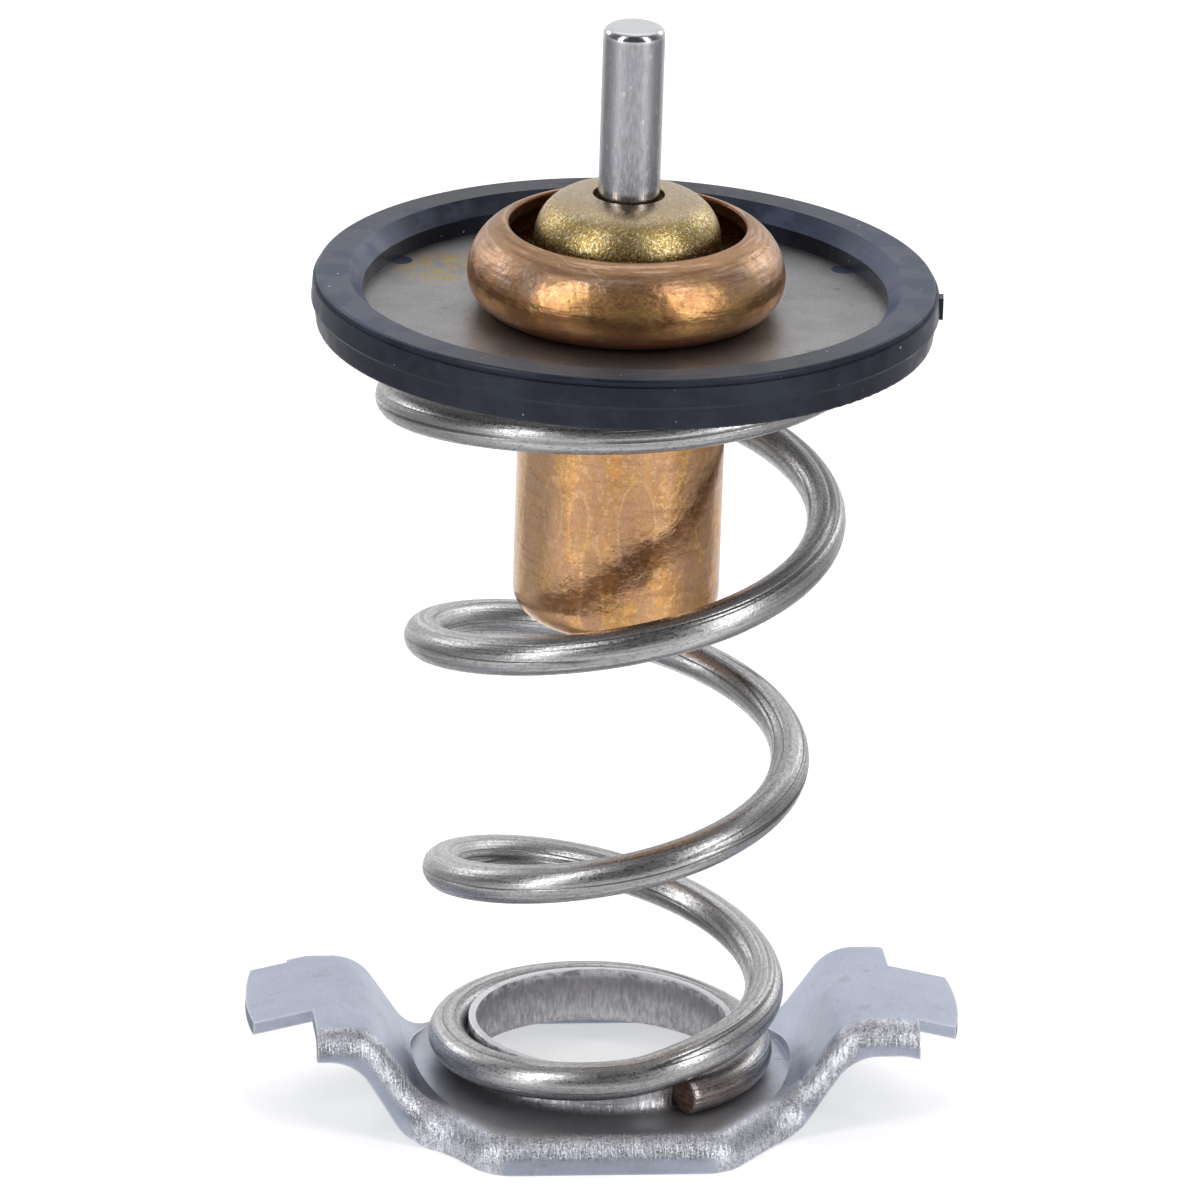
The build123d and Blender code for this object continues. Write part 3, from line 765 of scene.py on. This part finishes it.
def copper():
    """Drawn copper, handled: ring lines, brown and pink stains, and burnished lumps on the cup."""
    material, tree, shader = new_material("copper")
    where = use(tree, PLACE)
    place = where["Place"]
    height = where["Height"]
    coords = add_node(tree, "ShaderNodeTexCoord")
    up = split(tree, coords.outputs["Normal"])["Z"]
    on_cup = remap(tree, height, PLATE_TOP - 0.2, PLATE_TOP - 0.6)
    above = minus(tree, 1.0, on_cup)
    inward = measure(tree, "DOT_PRODUCT", where["Outward"], coords.outputs["Normal"])
    # painted shade on the inner side of the crimp's rim
    shaded_rim_inside = times(tree, remap(tree, inward, -0.05, -0.45), above)
    rings = use(tree, RING_LINES, Spacing=0.30, Breaks=2.2, Contrast=2.6)["Value"]
    bands = use(tree, RING_LINES, Spacing=1.1, Breaks=1.6, Contrast=3.0)["Value"]
    grain = use(tree, GRAIN, Place=place, Size=0.18, Contrast=2.0)["Value"]
    brown = use(tree, STAINS, Place=place, Size=2.4, Share=0.45, Edge=0.16)["Mask"]
    golden = use(tree, STAINS, Place=scaled(tree, place, 1.37), Size=2.8, Share=0.38, Edge=0.12)["Mask"]
    upright = stretched(tree, place, 1.0, 1.0, 0.42)
    pink = use(tree, STAINS, Place=upright, Size=1.5, Share=0.48, Edge=0.12)["Mask"]
    orange = use(tree, STREAKS, Place=place, Stretch=(1.3, 1.3, 0.30), Contrast=3.2)["Value"]
    mottle = use(tree, STAINS, Place=scaled(tree, place, 0.91), Size=0.75, Share=0.5, Edge=0.05)["Mask"]
    flecks = use(tree, STAINS, Place=scaled(tree, place, 1.13), Size=0.42, Share=0.28, Edge=0.04)["Mask"]
    ovals = cells(tree, stretched(tree, place, 1.0, 1.0, 0.36), 0.30).outputs["Distance"]
    oval = times(tree, remap(tree, ovals, 0.36, 0.33), on_cup)
    sideways = calc(tree, "ABSOLUTE", split(tree, where["Outward"])["X"])
    off_brink = calc(tree, "ABSOLUTE", minus(tree, ovals, 0.37))
    brink = times(tree, remap(tree, off_brink, 0.03, 0.0), on_cup)
    round_lines = (0.35, 0.35, 2.4)
    scores = use(tree, SCRATCHES, Place=place, Stretch=round_lines, Width=0.015, Share=0.35)["Mask"]
    spots = use(tree, SPECKS, Place=place, Spacing=0.7, Size=0.08, Share=0.3)["Mask"]
    colour = mix_colours(tree, bands, (0.56, 0.265, 0.115), (0.78, 0.41, 0.175))
    colour = tint(tree, colour, golden, 0.70, (0.86, 0.54, 0.19))
    colour = tint(tree, colour, brown, 0.45, (0.36, 0.165, 0.08))
    # top_face: the crimp's top face, painted darker as shade; its lathe lines use it below too
    top_face = times(tree, remap(tree, up, 0.30, 0.80), above)
    colour = tint(tree, colour, top_face, 0.80, (0.33, 0.205, 0.125))
    # painted highlight on the crimp's left and right shoulders
    shoulder_highlight = times(tree, remap(tree, up, 0.10, 0.40), remap(tree, up, 0.85, 0.55))
    shoulder_highlight = times(tree, times(tree, shoulder_highlight, above), remap(tree, sideways, 0.45, 0.80))
    shoulder_highlight = times(tree, shoulder_highlight, remap(tree, pink, 0.0, 1.0, 0.35, 1.0))
    colour = tint(tree, colour, shoulder_highlight, 0.50, (0.80, 0.62, 0.55))
    turned = times(tree, remap(tree, rings, 0.62, 0.85), top_face)
    colour = tint(tree, colour, turned, 0.50, (0.80, 0.60, 0.48))
    turned = times(tree, remap(tree, rings, 0.38, 0.15), top_face)
    colour = tint(tree, colour, turned, 0.50, (0.20, 0.11, 0.07))
    # painted shade on the crimp's downward faces
    foot = times(tree, remap(tree, up, -0.10, -0.55), above)
    colour = tint(tree, colour, foot, 0.65, (0.30, 0.155, 0.09))
    # painted shade on the inner side of the crimp's rim
    colour = mix_colours(tree, shaded_rim_inside, colour, (0.22, 0.105, 0.06))
    spotty = times(tree, on_cup, 0.55)
    colour = tint(tree, colour, orange, spotty, (0.90, 0.45, 0.12))
    colour = tint(tree, colour, mottle, spotty, (0.58, 0.33, 0.15))
    colour = tint(tree, colour, flecks, spotty, (0.93, 0.64, 0.31))
    colour = tint(tree, colour, pink, spotty, (0.60, 0.36, 0.25))
    colour = tint(tree, colour, oval, 0.60, (0.54, 0.31, 0.18))
    colour = tint(tree, colour, brink, 0.22, (0.97, 0.70, 0.40))
    # painted light: the cup's left side lightened
    left = times(tree, remap(tree, split(tree, where["Outward"])["X"], -0.55, -0.95), on_cup)
    colour = tint(tree, colour, left, 0.45, (1.0, 0.70, 0.45))
    dusky = times(tree, remap(tree, grain, 0.5, 1.2), on_cup)
    colour = tint(tree, colour, dusky, 0.75, (0.34, 0.18, 0.08))
    colour = tint(tree, colour, minus(tree, rings, 0.5), 0.5, (0.30, 0.14, 0.08))
    colour = tint(tree, colour, scores, 0.35, (0.92, 0.68, 0.48))
    colour = tint(tree, colour, spots, 0.35, (0.22, 0.10, 0.06))
    feed(tree, colour, shader.inputs["Base Color"])
    feed(tree, 1.0, shader.inputs["Metallic"])
    rough = remap(tree, grain, 0.1, 0.9, 0.22, 0.33)
    rough = plus(tree, rough, times(tree, times(tree, brown, above), 0.10))
    rough = minus(tree, rough, times(tree, on_cup, 0.10))
    rough = plus(tree, rough, times(tree, above, 0.05))
    feed(tree, rough, shader.inputs["Roughness"])
    lumps = cells(tree, stretched(tree, place, 1.0, 1.0, 0.62), 0.36, "SMOOTH_F1").outputs["Distance"]
    lumps = times(tree, times(tree, lumps, on_cup), 0.13)
    waves = times(tree, noise(tree, place, 0.5, 2.0), 0.09)
    dents = times(tree, noise(tree, stretched(tree, place, 0.7, 0.7, 1.3), 1.0, 3.0), above)
    waves = plus(tree, waves, times(tree, dents, 0.075))
    turning = times(tree, times(tree, rings, above), 0.010)
    patches = times(tree, mottle, on_cup)
    fine = plus(tree, turning, times(tree, plus(tree, grain, patches), 0.005))
    bump(tree, shader, lumps, waves, fine)
    return material


def guide_brass():
    """Blasted brass: coarse bright grain on the dome with painted glints on some facets, worn smoother
    and greyer on top.
    """
    material, tree, shader = new_material("guide_brass")
    where = use(tree, PLACE)
    place = where["Place"]
    on_top = remap(tree, where["Height"], GUIDE_TOP - 1.0, GUIDE_TOP - 0.25)
    grain = use(tree, GRAIN, Place=place, Size=0.17, Contrast=3.0)["Value"]
    facets = cells(tree, place, 8.5)
    tilt = split(tree, facets.outputs["Color"])[0]
    dull = use(tree, STAINS, Place=place, Size=2.0, Share=0.5, Edge=0.2)["Mask"]
    colour = mix_colours(tree, grain, (0.29, 0.185, 0.055), (0.68, 0.50, 0.19))
    # painted glints: some facets of the grain lightened
    colour = tint(tree, colour, remap(tree, tilt, 0.76, 0.95), 0.70, (1.0, 0.96, 0.76))
    colour = tint(tree, colour, dull, 0.30, (0.32, 0.24, 0.12))
    colour = tint(tree, colour, on_top, 0.70, (0.44, 0.355, 0.27))
    feed(tree, colour, shader.inputs["Base Color"])
    feed(tree, 1.0, shader.inputs["Metallic"])
    feed(tree, remap(tree, grain, 0.1, 0.9, 0.38, 0.24), shader.inputs["Roughness"])
    keep = minus(tree, 1.0, times(tree, on_top, 0.7))
    relief = times(tree, plus(tree, grain, times(tree, tilt, 0.5)), 0.014)
    bump(tree, shader, times(tree, relief, keep))
    return material


def piston_steel():
    """Ground pin: short fine lines and specks along it, with a polished edge at its end."""
    material, tree, shader = new_material("piston_steel")
    where = use(tree, PLACE)
    place = where["Place"]
    fine = use(tree, STREAKS, Place=place, Stretch=(5.5, 5.5, 1.1), Contrast=2.2)["Value"]
    long_lines = use(tree, STREAKS, Place=place, Stretch=(2.4, 2.4, 0.16), Contrast=2.4)["Value"]
    longer = stretched(tree, place, 1.0, 1.0, 0.55)
    specks = use(tree, SPECKS, Place=longer, Spacing=0.42, Size=0.12, Share=0.3)["Mask"]
    polished = remap(tree, where["Height"], PIN_TOP - 0.75, PIN_TOP - 0.5)
    colour = mix_colours(tree, fine, (0.36, 0.36, 0.385), (0.54, 0.545, 0.58))
    colour = tint(tree, colour, long_lines, 0.30, (0.40, 0.40, 0.42))
    colour = tint(tree, colour, specks, 0.5, (0.80, 0.80, 0.81))
    colour = mix_colours(tree, polished, colour, (0.66, 0.67, 0.69))
    feed(tree, colour, shader.inputs["Base Color"])
    feed(tree, 1.0, shader.inputs["Metallic"])
    rough = remap(tree, fine, 0.1, 0.9, 0.30, 0.20)
    rough = minus(tree, rough, times(tree, polished, 0.10))
    feed(tree, rough, shader.inputs["Roughness"])
    keep = minus(tree, 1.0, polished)
    bump(tree, shader, times(tree, times(tree, fine, keep), 0.006))
    return material


def wax():
    """Cast wax with copper powder in it, hidden inside the cup."""
    material, tree, shader = new_material("wax")
    place = use(tree, PLACE)["Place"]
    powder = use(tree, SPECKS, Place=place, Spacing=0.35, Size=0.14, Share=0.6)["Mask"]
    cloud = use(tree, STAINS, Place=place, Size=2.5, Share=0.5, Edge=0.2)["Mask"]
    colour = mix_colours(tree, cloud, (0.56, 0.40, 0.27), (0.66, 0.48, 0.33))
    feed(tree, mix_colours(tree, powder, colour, (0.62, 0.30, 0.16)), shader.inputs["Base Color"])
    feed(tree, times(tree, powder, 0.8), shader.inputs["Metallic"])
    feed(tree, remap(tree, powder, 0.0, 1.0, 0.62, 0.40), shader.inputs["Roughness"])
    bump(tree, shader, times(tree, cloud, 0.03))
    return material


def boot_rubber():
    """Moulded sleeve, matt, with faint ring lines."""
    material, tree, shader = new_material("boot_rubber")
    grain = use(tree, GRAIN, Place=use(tree, PLACE)["Place"], Size=0.25, Contrast=1.6)["Value"]
    lines = use(tree, RING_LINES, Spacing=0.35, Breaks=1.5, Contrast=2.0)["Value"]
    colour = mix_colours(tree, grain, (0.012, 0.012, 0.013), (0.035, 0.035, 0.038))
    feed(tree, colour, shader.inputs["Base Color"])
    feed(tree, remap(tree, lines, 0.0, 1.0, 0.55, 0.70), shader.inputs["Roughness"])
    bump(tree, shader, times(tree, lines, 0.01), times(tree, grain, 0.008))
    return material


def ring_plastic():
    """Turned slip ring, off-white, with lathe lines."""
    material, tree, shader = new_material("ring_plastic")
    lines = use(tree, RING_LINES, Spacing=0.12, Breaks=1.0, Contrast=2.0)["Value"]
    colour = mix_colours(tree, lines, (0.70, 0.69, 0.64), (0.82, 0.81, 0.77))
    feed(tree, colour, shader.inputs["Base Color"])
    feed(tree, remap(tree, lines, 0.0, 1.0, 0.42, 0.52), shader.inputs["Roughness"])
    bump(tree, shader, times(tree, lines, 0.008))
    return material


FINISHES = {
    "bridge_bracket": bridge_steel,
    "main_spring": spring_steel,
    "valve_plate": plate_steel,
    "seal_ring": seal_rubber,
    "wax_cup": copper,
    "wax_charge": wax,
    "rubber_boot": boot_rubber,
    "backup_ring": ring_plastic,
    "guide": guide_brass,
    "piston": piston_steel,
}
for node_name, finish in FINISHES.items():
    nodes[node_name].material_slots[0].material = finish()

spring = make_spring()
spring.data.materials.append(nodes["main_spring"].material_slots[0].material)
spring.data.materials.append(cut_wire())
for face in spring.data.polygons:
    face.material_index = 1 if face.loop_total > 4 else 0
